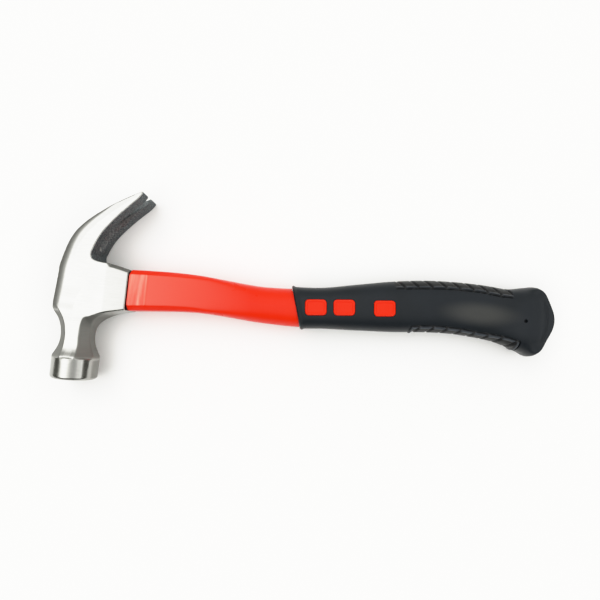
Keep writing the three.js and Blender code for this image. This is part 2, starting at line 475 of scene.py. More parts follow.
@dataclass(frozen=True)
class Finish:
    """A material's name and its plain values."""

    name: str
    colour: str
    roughness: float

    def shell(self, **values: object) -> tuple[Tree, Node, Socket]:
        """Starts the material.

        Args:
            values: constant values for the shader's own sockets, by name with _ for spaces.

        Returns:
            The node tree, its principled shader and the piece's own coordinates.
        """
        material = bpy.data.materials.new(self.name)
        material.use_nodes = True
        tree = material.node_tree
        shader = tree.nodes["Principled BSDF"]
        shader.inputs["Base Color"].default_value = linear(self.colour)
        shader.inputs["Roughness"].default_value = self.roughness
        for name, value in values.items():
            shader.inputs[name.replace("_", " ")].default_value = value
        coordinates = add_node(tree, "ShaderNodeTexCoord")
        return tree, shader, coordinates.outputs["Object"]

    def material(self) -> bpy.types.Material:
        """Returns the finished material, made once."""
        known = bpy.data.materials.get(self.name)
        if known is None:
            self.build()
            known = bpy.data.materials[self.name]
        return known

    def build(self) -> None:
        """Makes the node tree; each kind of finish has its own."""
        raise NotImplementedError

    def dress(self, piece: Piece) -> None:
        """Gives a piece this finish in place of any other."""
        piece.data.materials.clear()
        piece.data.materials.append(self.material())


@dataclass(frozen=True)
class PolishedForgedSteel(Finish):
    """Drop-forged carbon steel, belt-ground and buffed, with bare forged scale inside the claw."""

    streak_colour: str = "#999995"
    scale_colour: str = "#53595B"
    scale_dark: str = "#2C3133"
    scale_light: str = "#868D90"
    # darker colour of the crown's edge and of the painted shade on the steep sides
    dull_and_shade_colour: str = "#4A4A44"
    dull_roughness: float = 0.58
    scale_roughness: float = 0.62
    streak: float = 6.0          # mm; real belt marks are too fine to show, so they are drawn coarser
    streak_squeeze: float = 14.0
    cloud: float = 16.0
    scale_grain: float = 0.9     # mm; forge scale is finer, and is drawn coarser to show

    def build(self) -> None:
        """Bright, faintly streaked steel; dark and grainy where the forging is left as it came; darker and
        rougher on the crown's edge, with painted shade on the steep sides of neck, socket top and bell.
        """
        tree, shader, at = self.shell(Metallic=1.0)
        forged = add_node(tree, "ShaderNodeAttribute", attribute_name="forged").outputs["Fac"]
        turned = add_node(tree, "ShaderNodeMapping", {"Vector": at, "Scale": (1.0, self.streak_squeeze, 1.0)})
        streaks = add_node(tree, "ShaderNodeTexNoise", {
            "Vector": turned.outputs["Vector"], "Scale": per_metre(self.streak), "Detail": 4.0,
        }).outputs["Fac"]
        cloud = add_node(tree, "ShaderNodeTexNoise", {
            "Vector": at, "Scale": per_metre(self.cloud), "Detail": 3.0,
        }).outputs["Fac"]
        grain = add_node(tree, "ShaderNodeTexNoise", {
            "Vector": at, "Scale": per_metre(self.scale_grain), "Detail": 6.0, "Roughness": 0.62,
        }).outputs["Fac"]
        bright = add_node(tree, "ShaderNodeValToRGB", {"Fac": streaks}, [
            (0.25, self.streak_colour), (0.75, self.colour),
        ]).outputs["Color"]
        # darker on the crown's edge, and painted shade on the steep sides of neck, socket top and bell
        dulled_and_shaded = add_node(tree, "ShaderNodeAttribute", attribute_name="dulled_and_shaded").outputs["Fac"]
        bare = add_node(tree, "ShaderNodeMix", {
            0: dulled_and_shaded, 6: bright, 7: linear(self.dull_and_shade_colour),
        }, data_type="RGBA").outputs[2]
        scale = add_node(tree, "ShaderNodeValToRGB", {"Fac": grain}, [
            (0.3, self.scale_dark), (0.5, self.scale_colour), (0.72, self.scale_light),
        ]).outputs["Color"]
        colour = add_node(tree, "ShaderNodeMix", {0: forged, 6: bare, 7: scale}, data_type="RGBA")
        sheen = add_node(tree, "ShaderNodeMapRange", {
            "Value": cloud, "From Min": 0.3, "From Max": 0.7,
            "To Min": self.roughness * 0.8, "To Max": self.roughness * 1.25,
        }).outputs["Result"]
        matte = add_node(tree, "ShaderNodeMapRange", {"Value": dulled_and_shaded, "From Max": 0.25}).outputs["Result"]
        worn = add_node(tree, "ShaderNodeMix", {0: matte, 2: sheen, 3: self.dull_roughness}).outputs[0]
        rough = add_node(tree, "ShaderNodeMix", {0: forged, 2: worn, 3: self.scale_roughness})
        fine = add_node(tree, "ShaderNodeBump", {"Height": streaks, "Strength": 0.05, "Distance": 0.01 * MM})
        depth = add_node(tree, "ShaderNodeMath", {0: grain, 1: forged}, operation="MULTIPLY")
        coarse = add_node(tree, "ShaderNodeBump", {
            "Height": depth.outputs["Value"], "Strength": 0.9, "Distance": 0.5 * MM,
            "Normal": fine.outputs["Normal"],
        })
        tree.links.new(colour.outputs[2], shader.inputs["Base Color"])
        tree.links.new(rough.outputs[0], shader.inputs["Roughness"])
        tree.links.new(coarse.outputs["Normal"], shader.inputs["Normal"])


@dataclass(frozen=True)
class MouldedPlastic(Finish):
    """Injection-moulded plastic: even colour, a gentle ripple and a fine texture from the mould."""

    shade_colour: str = "#E02305"
    ripple: float = 14.0
    texture: float = 0.45        # mm; the mould's texture is finer, and is drawn coarser to show
    depth: float = 0.03
    index: float = 1.49
    specular: float = 0.13
    blush: float = 0.0
    blush_end_x: float = 45.0
    blush_edge: float = 1.2
    blush_streak: float = 3.0
    blush_stretch: float = 0.08
    # painted sheen: how pale the flats are past the streaks, and how far along the jacket that fades
    front_sheen_share: float = 0.1
    front_sheen_length: float = 66.0
    pale_colour: str = "#FFCDB6"

    def build(self) -> None:
        """Colour drifts slightly over centimetres; gloss drifts with it; the skin is very finely pebbled."""
        tree, shader, at = self.shell(IOR=self.index, Specular_IOR_Level=self.specular)
        drift = add_node(tree, "ShaderNodeTexNoise", {
            "Vector": at, "Scale": per_metre(self.ripple), "Detail": 1.0,
        }).outputs["Fac"]
        skin = add_node(tree, "ShaderNodeTexNoise", {
            "Vector": at, "Scale": per_metre(self.texture), "Detail": 2.0,
        }).outputs["Fac"]
        colour = add_node(tree, "ShaderNodeValToRGB", {"Fac": drift}, [
            (0.2, self.shade_colour), (0.8, self.colour),
        ]).outputs["Color"]
        # pale streaks near the socket and a painted sheen along the flats
        if self.blush:
            colour = self.whitened(tree, at, colour)
        rough = add_node(tree, "ShaderNodeMapRange", {
            "Value": drift, "From Min": 0.3, "From Max": 0.7,
            "To Min": self.roughness * 0.9, "To Max": self.roughness * 1.15,
        })
        wave = add_node(tree, "ShaderNodeBump", {
            "Height": drift, "Strength": 0.1, "Distance": 0.2 * MM,
        })
        bump = add_node(tree, "ShaderNodeBump", {
            "Height": skin, "Strength": 0.5, "Distance": self.depth * MM,
            "Normal": wave.outputs["Normal"],
        })
        tree.links.new(colour, shader.inputs["Base Color"])
        tree.links.new(rough.outputs["Result"], shader.inputs["Roughness"])
        tree.links.new(bump.outputs["Normal"], shader.inputs["Normal"])

    def whitened(self, tree: Tree, at: Socket, colour: Socket) -> Socket:
        """Adds pale streaks on the broad flats near the socket, and a painted sheen on the flats that fades
        along the jacket from there.

        Args:
            tree: the material's nodes.
            at: the piece's own coordinates.
            colour: the colour socket so far.

        Returns:
            The colour socket with the streaks and the painted sheen.
        """
        end = eye_centre().x + self.blush_end_x * MM
        along = add_node(tree, "ShaderNodeSeparateXYZ", {"Vector": at}).outputs["X"]
        near = add_node(tree, "ShaderNodeMapRange", {
            "Value": along, "From Min": end - self.blush_edge * MM, "From Max": end,
            "To Min": 1.0, "To Max": 0.0,
        }).outputs["Result"]
        turned = add_node(tree, "ShaderNodeMapping", {"Vector": at, "Scale": (1.0, self.blush_stretch, 1.0)})
        streaks = add_node(tree, "ShaderNodeTexNoise", {
            "Vector": turned.outputs["Vector"], "Scale": per_metre(self.blush_streak), "Detail": 3.0,
        }).outputs["Fac"]
        streaked = add_node(tree, "ShaderNodeMapRange", {
            "Value": streaks, "From Min": 0.35, "From Max": 0.68,
            "To Min": self.blush * 0.25, "To Max": self.blush,
        }).outputs["Result"]
        near_streaks = add_node(tree, "ShaderNodeMath", {0: near, 1: streaked}, operation="MULTIPLY").outputs[0]
        # painted sheen: paler flats that fade along the jacket from the socket
        painted_front_sheen = add_node(tree, "ShaderNodeMapRange", {
            "Value": along, "From Min": end, "From Max": end + self.front_sheen_length * MM,
            "To Min": self.front_sheen_share, "To Max": 0.0,
        }).outputs["Result"]
        amount = add_node(tree, "ShaderNodeMath", {0: near_streaks, 1: painted_front_sheen}, operation="MAXIMUM").outputs[0]
        facing = add_node(tree, "ShaderNodeSeparateXYZ", {
            "Vector": add_node(tree, "ShaderNodeNewGeometry").outputs["Normal"],
        }).outputs["Z"]
        level = add_node(tree, "ShaderNodeMath", {0: facing}, operation="ABSOLUTE").outputs[0]
        flat = add_node(tree, "ShaderNodeMapRange", {
            "Value": level, "From Min": 0.8, "From Max": 0.97,
        }, interpolation_type="SMOOTHSTEP").outputs["Result"]
        shown = add_node(tree, "ShaderNodeMath", {0: amount, 1: flat}, operation="MULTIPLY").outputs[0]
        return add_node(tree, "ShaderNodeMix", {
            0: shown, 6: colour, 7: linear(self.pale_colour),
        }, data_type="RGBA").outputs[2]


@dataclass(frozen=True)
class SoftRubber(Finish):
    """Thermoplastic rubber moulded over the jacket: matte, slightly blue black, rougher on its ribs."""

    shade_colour: str = "#0F1418"
    rib_colour: str = "#151617"
    rib_shade: str = "#0A0B0C"
    rib_roughness: float = 0.46
    drift: float = 22.0
    pebble: float = 0.5          # mm; the mould's pebble is finer, and is drawn coarser to show
    # colour of the painted highlight along the crests of the rib borders
    crest_highlight_colour: str = "#353A40"
    # painted sheen: colour, strength, place and size of a pale patch that stands for a soft highlight in the
    # grip's middle
    painted_sheen_colour: str = "#565550"
    painted_sheen_share: float = 0.3
    sheen_patch: tuple[float, float] = (259.0, 4.2)
    sheen_patch_size: tuple[float, float] = (31.0, 9.5)

    def build(self) -> None:
        """Fine pebble all over; the rib panels are rougher and a little browner; a painted sheen lies in the
        grip's middle and a painted highlight on the rib borders' crests.
        """
        tree, shader, at = self.shell(IOR=1.5, Specular_IOR_Level=0.2)
        ribbed = add_node(tree, "ShaderNodeAttribute", attribute_name="ribbed").outputs["Fac"]
        drift = add_node(tree, "ShaderNodeTexNoise", {
            "Vector": at, "Scale": per_metre(self.drift), "Detail": 3.0,
        }).outputs["Fac"]
        pebble = add_node(tree, "ShaderNodeTexNoise", {
            "Vector": at, "Scale": per_metre(self.pebble), "Detail": 4.0,
        }).outputs["Fac"]
        plain = add_node(tree, "ShaderNodeValToRGB", {"Fac": drift}, [
            (0.3, self.shade_colour), (0.7, self.colour),
        ]).outputs["Color"]
        ribs = add_node(tree, "ShaderNodeValToRGB", {"Fac": pebble}, [
            (0.35, self.rib_shade), (0.65, self.rib_colour),
        ]).outputs["Color"]
        # painted sheen: the pale patch in the grip's middle stands for a soft highlight
        sheen_patch = add_node(tree, "ShaderNodeMix", {
            0: self.painted_sheen_mask(tree, at), 6: plain, 7: linear(self.painted_sheen_colour),
        }, data_type="RGBA")
        moulded = add_node(tree, "ShaderNodeMix", {0: ribbed, 6: sheen_patch.outputs[2], 7: ribs}, data_type="RGBA")
        # painted highlight: the crests of the rib borders are made paler where light would catch them
        crest = add_node(tree, "ShaderNodeAttribute", attribute_name="painted_crest_highlight").outputs["Fac"]
        colour = add_node(tree, "ShaderNodeMix", {
            0: crest, 6: moulded.outputs[2], 7: linear(self.crest_highlight_colour),
        }, data_type="RGBA")
        rough = add_node(tree, "ShaderNodeMix", {0: ribbed, 2: self.roughness, 3: self.rib_roughness})
        bump = add_node(tree, "ShaderNodeBump", {"Height": pebble, "Strength": 0.4, "Distance": 0.06 * MM})
        tree.links.new(colour.outputs[2], shader.inputs["Base Color"])
        tree.links.new(rough.outputs[0], shader.inputs["Roughness"])
        tree.links.new(bump.outputs["Normal"], shader.inputs["Normal"])

    def painted_sheen_mask(self, tree: Tree, at: Socket) -> Socket:
        """Marks a painted sheen: a pale patch in the middle of the grip that stands for a soft highlight.

        Args:
            tree: the material's nodes.
            at: the piece's own coordinates.

        Returns:
            How strong the painted sheen is, from 0 to its full share in the patch's middle.
        """
        centre = to_frame(np.array([self.sheen_patch[0], self.sheen_patch[1], 0.0]))
        spread = (1 / (self.sheen_patch_size[0] * MM), 1 / (self.sheen_patch_size[1] * MM), 0.0)
        shift = tuple(-float(centre[k]) * spread[k] for k in range(3))
        scaled = add_node(tree, "ShaderNodeMapping", {"Vector": at, "Scale": spread, "Location": shift})
        away = add_node(tree, "ShaderNodeVectorMath", {0: scaled.outputs["Vector"]}, operation="LENGTH")
        return add_node(tree, "ShaderNodeMapRange", {
            "Value": away.outputs["Value"], "From Min": 0.2, "From Max": 1.0,
            "To Min": self.painted_sheen_share, "To Max": 0.0,
        }, interpolation_type="SMOOTHSTEP").outputs["Result"]


@dataclass(frozen=True)
class GlassAndResin(Finish):
    """Pultruded glass fibre in resin, or the cast epoxy round it: translucent straw, streaked along X."""

    streak_colour: str = "#E0D7B0"
    streak: float = 1.2
    stretch: float = 0.04

    def build(self) -> None:
        """Pale streaks run along the rod; the surface is a little waxy."""
        tree, shader, at = self.shell(IOR=1.55)
        turned = add_node(tree, "ShaderNodeMapping", {"Vector": at, "Scale": (self.stretch, 1.0, 1.0)})
        streaks = add_node(tree, "ShaderNodeTexNoise", {
            "Vector": turned.outputs["Vector"], "Scale": per_metre(self.streak), "Detail": 4.0,
        }).outputs["Fac"]
        colour = add_node(tree, "ShaderNodeValToRGB", {"Fac": streaks}, [
            (0.35, self.colour), (0.65, self.streak_colour),
        ]).outputs["Color"]
        bump = add_node(tree, "ShaderNodeBump", {"Height": streaks, "Strength": 0.3, "Distance": 0.05 * MM})
        tree.links.new(colour, shader.inputs["Base Color"])
        tree.links.new(bump.outputs["Normal"], shader.inputs["Normal"])


# Drop-forged, then belt-ground and buffed: bright flats that mirror the room softly, dark scale in the claw,
# a darker crown edge and painted shade on steep sides
STEEL = PolishedForgedSteel("forged_steel_buffed", "#A0A09C", 0.19)
# Glossy polypropylene from a polished mould: saturated red, pale streaks near the socket and a painted sheen
# fading along the flats
ORANGE = MouldedPlastic("polypropylene_moulded_orange", "#E42506", 0.3, blush=0.44)
# Thermoplastic rubber moulded over the jacket: a low sheen, blue black, with duller ribs, a painted sheen in
# the grip's middle and painted highlights on the rib borders
RUBBER = SoftRubber("thermoplastic_rubber_black", "#13181D", 0.42)
# Nitrile pressed into the joint: flat black that gives almost no highlight
SEAL = MouldedPlastic("nitrile_seal_black", "#161616", 0.7, "#101010", 6.0, 0.6, 0.04, 1.52)
# Nylon from a textured mould: charcoal with a broad, weak highlight
CAP = MouldedPlastic("nylon_moulded_black", "#1E1E20", 0.45, "#17171A", 8.0, 0.5, 0.04, 1.53)
# Glass fibre pulled through a die with resin: straw coloured, with pale threads along its length
FIBREGLASS = GlassAndResin("fibreglass_pultruded", "#C2B27C", 0.5)
# Epoxy poured round the core and left to cure: smooth amber, faintly clouded
EPOXY = GlassAndResin("epoxy_cast_amber", "#8F7B42", 0.3, "#A08C50", 7.0, 1.0)


# Head


@dataclass
class ForgedHead:
    """The forging: striking face, bell, octagonal neck, cheek with its eye and socket, and split claw."""

    voxel: float = 0.5
    probe: float = 0.06
    bell_radius: float = 14.3
    face_y: float = -60.0
    bell_top_y: float = -46.0
    socket_end_x: float = 32.0
    cheek_half: float = 12.3
    socket_half: float = 11.4
    claw_half: float = 14.3
    eye_height: tuple[float, float] = (22.6, 20.6)
    eye_thickness: tuple[float, float] = (16.8, 15.0)
    eye_corner: float = 3.0
    eye_bevel: float = 0.8
    # how much the steep sides are darkened as painted shade, and made rougher
    side_shade_and_dulling: float = 0.5
    bell_shade_and_dulling: float = 0.35
    crown_tilt: float = 50.0
    bevel_scale: float = 0.85
    face_crown: float = 0.25
    face_chamfer: float = 1.3
    face_soft: float = 0.7
    bell_shoulder: float = 0.5
    bell_fillet: float = 0.25
    edge_leg: float = 0.25
    socket_leg: float = 2.0
    soft: float = 0.4
    soft_right: float = 0.35
    soft_slot: float = 0.3
    slot_bevel: float = 0.35
    slot_bevel_inside: float = 2.2
    claw_from_y: float = 20.0
    neck_to_y: float = -42.0
    sharp_from_y: float = 24.0
    claw_widens: Span = (16.0, 70.0)
    socket_thins: Span = (18.0, 32.0)
    crown_blend: Span = (-17.0, -11.0)
    leg_narrows: Span = (-27.0, -17.5)
    socket_leg_grows: Span = (18.0, 20.5)
    slot_bevel_fades: Span = (40.0, 60.0)
    relax_fades: Span = (46.0, 52.0)
    slot_root: tuple[float, float] = (7.6, 29.0)
    slot_tip: tuple[float, float] = (36.8, 63.6)
    slot_widths: tuple[float, float] = (1.6, 6.6)
    neck_half: Points = field(default_factory=lambda: [
        (-60, 14), (-47, 13.9), (-45, 13.2), (-42, 11.5), (-38, 9.9), (-33, 9.3), (-28, 9.5), (-23, 10.5),
        (-18, 11.8), (-14, 12.3), (0, 12.3),
    ])
    facet_leg: Points = field(default_factory=lambda: [
        (-60, 8.4), (-47, 8.3), (-44, 7.6), (-41, 6.5), (-37, 5.6), (-32, 5.2), (-15, 5.0),
    ])
    neck_left: Points = field(default_factory=lambda: [
        (-14.2, -52), (-14.1, -46.5), (-12.3, -42.6), (-10.7, -38.6), (-9.9, -34), (-10, -29), (-10.6, -24.6),
        (-12.1, -20.4), (-14.2, -17.3), (-15.6, -14.9),
    ])
    back: Points = field(default_factory=lambda: [
        (-15.6, -14.9), (-16, -10), (-16, -4), (-15.6, 4.3), (-14.7, 13.3), (-12.7, 21.2), (-9.5, 29.5),
        (-5.3, 36.1), (0, 41.5), (5.4, 45.8), (10.8, 49.5), (16.5, 53.1), (22.6, 56.6), (29.6, 60.6),
        (36.2, 64.1),
    ])
    claw_inside: Points = field(default_factory=lambda: [
        (37, 63), (35.2, 60.2), (29.6, 54.4), (24, 48.7), (18.7, 42.7), (14.1, 36.8), (10.9, 31.3),
        (8.6, 25.6), (7.4, 21.2), (8.4, 18.6), (11, 17.2),
    ])
    socket_top: Points = field(default_factory=lambda: [
        (11, 17.2), (14, 16.7), (21, 15.9), (32, 13.4), (40, 11.4),
    ])
    socket_bottom: Points = field(default_factory=lambda: [
        (40, -12), (32, -13.3), (25, -14.9), (20.8, -16), (16.6, -17.7), (13.2, -20), (10.9, -22.8),
        (9.7, -26), (9.3, -30), (9.6, -34.4), (10.6, -38.4), (12.2, -42), (14.1, -46.5), (14.2, -52),
    ])
    round_edge: Points = field(default_factory=lambda: [
        (-20, 6), (-8, 8), (10, 8.4), (25, 7.4), (36, 5.4), (43, 3.8), (50, 2), (54, 0.7), (58, 0.25),
        (66, 0.2),
    ])
    narrowing: Points = field(default_factory=lambda: [
        (6.5, 1), (8, 0.85), (10, 0.6), (13, 0.42), (18, 0.3), (24, 0.24), (34, 0.2),
    ])
    outline: Grid = field(init=False)
    lean: Grid = field(init=False)
    hollow: Grid = field(init=False)

    def trace(self) -> None:
        """Samples how far the side outline is, on its crown's side and on its handle's side."""
        left = np.vstack([traced(self.neck_left), traced(self.back)[1:]])
        inside = np.vstack([left[-1:], traced(self.claw_inside)])
        right = np.vstack([inside, traced(self.socket_top)[1:], traced(self.socket_bottom)])
        loop = np.vstack([left, right[1:]])
        grid = Grid((-22.0, -64.0), (44.0, 68.0), 0.25)
        places = grid.places()
        sign = np.where(inside_loop(places, loop), -1.0, 1.0)
        to_left = distance_to_line(places, left)
        to_right = distance_to_line(places, right)
        self.outline = grid.fill(sign * np.minimum(to_left, to_right))
        self.lean = self.sampled(grid, to_left - to_right)
        self.hollow = self.sampled(grid, distance_to_line(places, inside))

    @staticmethod
    def sampled(like: Grid, values: Array) -> Grid:
        """Makes another grid over the same places.

        Args:
            like: the grid whose places it shares.
            values: its own value at each place.

        Returns:
            The new grid.
        """
        other = Grid(like.low, like.high, like.pitch)
        other.shape = like.shape
        return other.fill(values)

    def half_thickness(self, x: Array, y: Array) -> Array:
        """Works out half of the thickness of the cheek, socket, claw and neck.

        Args:
            x: how far places are from the eye's centre toward the handle.
            y: how far toward the claw.

        Returns:
            The half thickness at each place.
        """
        claw = (self.claw_half - self.cheek_half) * smooth_step(*self.claw_widens, y)
        start, end = self.socket_thins
        along = np.clip((x - start) / (end - start), 0.0, 1.0)
        socket = (self.cheek_half - self.socket_half) * along * (y < self.claw_from_y)
        return Curve(self.neck_half)(y) + claw - socket

    def slot_distance(self, x: Array, y: Array, z: Array) -> Array:
        """Measures how far places are from the V-shaped slot between the prongs.

        Args:
            x: how far they are from the eye's centre toward the handle.
            y: how far toward the claw.
            z: how far from the mid-plane.

        Returns:
            The signed distance of each place, below zero inside the slot.
        """
        run = np.subtract(self.slot_tip, self.slot_root)
        length = np.hypot(*run)
        along = ((x - self.slot_root[0]) * run[0] + (y - self.slot_root[1]) * run[1]) / length
        root, tip = (width / 2 for width in self.slot_widths)
        half = root + (tip - root) * np.maximum(along, 0.0) / length
        return np.hypot(np.minimum(along, 0.0), z) - half

    def eye_distance(self, x: Array, y: Array, z: Array) -> Array:
        """Measures how far places are from the tapered eye through the cheek and socket.

        Args:
            x: how far they are from the eye's centre toward the handle.
            y: how far toward the claw.
            z: how far from the mid-plane.

        Returns:
            The signed distance of each place, below zero inside the eye.
        """
        share = (x + CROWN_TO_EYE) / (self.socket_end_x + CROWN_TO_EYE)
        height = self.eye_height[0] + (self.eye_height[1] - self.eye_height[0]) * share
        thickness = self.eye_thickness[0] + (self.eye_thickness[1] - self.eye_thickness[0]) * share
        gap_y = np.abs(y) - height / 2
        gap_z = np.abs(z) - thickness / 2
        return rounded_corner(gap_y, gap_z, self.eye_corner)

    def distance(self, places: Array) -> Array:
        """Measures how far places are from the head's surface.

        Args:
            places: places in millimetres from the eye's centre.

        Returns:
            The signed distance of each place, below zero inside the steel.
        """
        x, y, z = places.T
        side = self.outline(x, y)
        face = np.abs(z) - self.half_thickness(x, y)
        crown = rounded_corner(side, face, Curve(self.round_edge)(y))
        facet_leg = Curve(self.facet_leg)(y)
        facet = chamfered_corner(side, face, facet_leg, self.soft)
        blend = smooth_step(*self.crown_blend, y)
        left = facet * (1 - blend) + crown * blend
        narrowed = Curve(self.narrowing)(x)
        bottom_leg = facet_leg * (1 + (narrowed - 1) * smooth_step(*self.leg_narrows, y))
        top_leg = self.edge_leg + self.socket_leg * smooth_step(*self.socket_leg_grows, x)
        leg = np.where(y < 0.0, bottom_leg, np.where(y < self.sharp_from_y, top_leg, self.edge_leg))
        right = chamfered_corner(side, face, leg, self.soft_right)
        block = np.where(self.lean(x, y) < 0.0, left, right)
        past_socket = x - self.socket_end_x - 4.0 * np.maximum(y - self.claw_from_y, 0.0)
        block = smooth_max(block, past_socket, self.soft)
        reach = np.hypot(x, z)
        past_bell = reach - self.bell_radius - 6.0 * np.maximum(y - self.neck_to_y, 0.0)
        block = smooth_max(block, past_bell, self.soft)
        crowned = self.face_y - y + self.face_crown * (reach / self.bell_radius) ** 2
        barrel = chamfered_corner(reach - self.bell_radius, crowned, self.face_chamfer, self.face_soft)
        bell = rounded_corner(barrel, y - self.bell_top_y, self.bell_shoulder)
        solid = smooth_min(block, bell, self.bell_fillet)
        wide = self.slot_bevel + self.slot_bevel_inside * (self.lean(x, y) > 0.0)
        bevel = self.edge_leg + wide * (1 - smooth_step(*self.slot_bevel_fades, y))
        solid = chamfered_corner(solid, -self.slot_distance(x, y, z), bevel, self.soft_slot)
        return chamfered_corner(solid, -self.eye_distance(x, y, z), self.eye_bevel, self.soft)

    def slope(self, places: Array) -> Array:
        """Works out the gradient of the distance.

        Args:
            places: where to take it, in millimetres from the eye's centre.

        Returns:
            The gradient at each place, one row each.
        """
        columns = []
        for axis in np.eye(3) * self.probe:
            columns.append((self.distance(places + axis) - self.distance(places - axis)) / (2 * self.probe))
        return np.stack(columns, axis=1)

    def outward(self, places: Array) -> Array:
        """Returns the surface's direction at places, each of length one."""
        slope = self.slope(places)
        return slope / np.maximum(np.linalg.norm(slope, axis=1, keepdims=True), 1e-6)

    def settle(self, places: Array, rounds: int) -> Array:
        """Moves places onto the surface by steps along the slope.

        Args:
            places: the places to move.
            rounds: how many steps each one takes.

        Returns:
            The places on the surface.
        """
        for _ in range(rounds):
            slope = self.slope(places)
            size = np.maximum(np.einsum("ij,ij->i", slope, slope), 0.3)
            step = self.distance(places) / size
            places = places - np.clip(step, -0.6, 0.6)[:, None] * slope
        return places

    def relax(self, piece: Piece, places: Array, rounds: int) -> Array:
        """Evens out the spacing of the vertices along the surface.

        Args:
            piece: the object whose edges say which vertices are neighbours.
            places: where its vertices are.
            rounds: how many times each one moves toward the middle of its neighbours.

        Returns:
            The new places, still on the surface.
        """
        edges = np.empty(len(piece.data.edges) * 2, int)
        piece.data.edges.foreach_get("vertices", edges)
        a, b = edges.reshape(-1, 2).T
        count = np.bincount(a, minlength=len(places)) + np.bincount(b, minlength=len(places))
        for _ in range(rounds):
            total = np.stack([
                np.bincount(a, column[b], len(places)) + np.bincount(b, column[a], len(places))
                for column in places.T
            ], axis=1)
            pull = total / count[:, None] - places
            outward = self.outward(places)
            pull -= np.einsum("ij,ij->i", pull, outward)[:, None] * outward
            held = 0.6 * (1 - smooth_step(*self.relax_fades, places[:, 1]))
            places = self.settle(places + held[:, None] * pull, 1)
        return places

    def forged(self, places: Array, level: Array) -> Array:
        """Finds the faces that are left as they came from the forge.

        Args:
            places: places on the surface.
            level: how level the surface is there, from 0 on its sides to 1 on its broad faces.

        Returns:
            1 in the claw's hollow, its slot and the eye, a little less on the slot's bevels, 0 elsewhere.
        """
        x, y, z = places.T
        slot = self.slot_distance(x, y, z)
        hollow = (self.hollow(x, y) < 0.6) & (level < 0.6)
        bevel = (self.hollow(x, y) < 3.0) & (slot < 2.6) & (level > 0.3)
        cut = (slot < 0.4) & (level > 0.35) & (self.outline(x, y) < -0.3)
        eye = self.eye_distance(x, y, z) < 0.3
        return np.where(bevel, self.bevel_scale, (hollow | eye | cut).astype(float))

    def dulled_and_shaded(self, places: Array, level: Array) -> Array:
        """Finds where the steel is darker and rougher: the crown's rounded edge, and the steep sides of neck,
        socket top and bell, where the darkening is painted shade.

        Args:
            places: places on the surface.
            level: how level the surface is there, from 0 on its sides to 1 on its broad faces.

        Returns:
            How much darker and rougher the steel is there, from 0 to 1.
        """
        x, y, _ = places.T
        tilt = np.degrees(np.arccos(np.minimum(level, 1.0)))
        crown = smooth_step(-17.0, -12.0, y) * (self.lean(x, y) < 0.0)
        neck_side = band((-47.0, -44.0), (-19.0, -15.0), y) * smooth_step(1.0, 3.0, np.abs(x))
        socket_top = band((9.0, 11.0), (18.0, 22.0), y) * smooth_step(14.0, 17.0, x)
        bell_side = band((-59.0, -58.0), (-48.0, -46.0), y) * smooth_step(62.0, 76.0, tilt)
        steep = smooth_step(20.0, 38.0, tilt)
        side = np.maximum(
            self.side_shade_and_dulling * steep * np.maximum(neck_side, socket_top), self.bell_shade_and_dulling * bell_side,
        )
        return np.maximum(crown * np.clip(tilt / self.crown_tilt, 0.0, 1.0), side)

    def build(self) -> Piece:
        """Returns the finished head, in place of the CAD head."""
        self.trace()
        piece = copied("forged_head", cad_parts["hammer_head"])
        start_edit(piece)
        bpy.ops.mesh.remove_doubles(threshold=1e-6)
        end_edit()
        apply_modifier(piece, "REMESH", mode="VOXEL", voxel_size=self.voxel * MM)
        places = self.settle(corners_of(piece), 9)
        places = self.relax(piece, places, 5)
        places = self.settle(places, 3)
        set_corners(piece, places)
        level = np.abs(self.outward(places)[:, 2])
        paint(piece, "forged", self.forged(places, level))
        # darker, rougher crown edge, and painted shade on the steep sides of neck, socket top and bell
        paint(piece, "dulled_and_shaded", self.dulled_and_shaded(places, level))
        only(piece)
        bpy.ops.object.shade_smooth()
        STEEL.dress(piece)
        hand_over(piece, "forged_steel", "hammer_head")
        return piece


# Handle


@dataclass
class HandleOutline:
    """How high, low and thick the handle is along its length, and how square its section is."""

    top: Curve
    bottom: Curve
    half: Curve
    square: Curve

    def ring(self, x: Array, turn: Array, inset: Array) -> Array:
        """Returns places on the handle's skin.

        Args:
            x: how far along the handle, in millimetres.
            turn: the angle round the section, zero on the claw's side.
            inset: how far below the skin.

        Returns:
            The x, y and z of each place.
        """
        high, low = self.top(x) - inset, self.bottom(x) + inset
        power = 2.0 / self.square(x)
        c, s = np.cos(turn), np.sin(turn)
        y = (high + low) / 2 + (high - low) / 2 * np.sign(c) * np.abs(c) ** power
        z = (self.half(x) - inset) * np.sign(s) * np.abs(s) ** power
        return np.stack([x, y, z], axis=1)

    def height(self, x: Array, y: Array) -> Array:
        """Measures how far the skin's broad side is from the mid-plane.

        Args:
            x: how far along the handle, in millimetres.
            y: how far toward the claw's side.

        Returns:
            The height of the skin over the mid-plane at each place.
        """
        middle = (self.top(x) + self.bottom(x)) / 2
        reach = (self.top(x) - self.bottom(x)) / 2
        power = self.square(x)
        share = np.clip(np.abs(y - middle) / reach, 0.0, 1.0)
        return self.half(x) * (1.0 - share ** power) ** (1.0 / power)


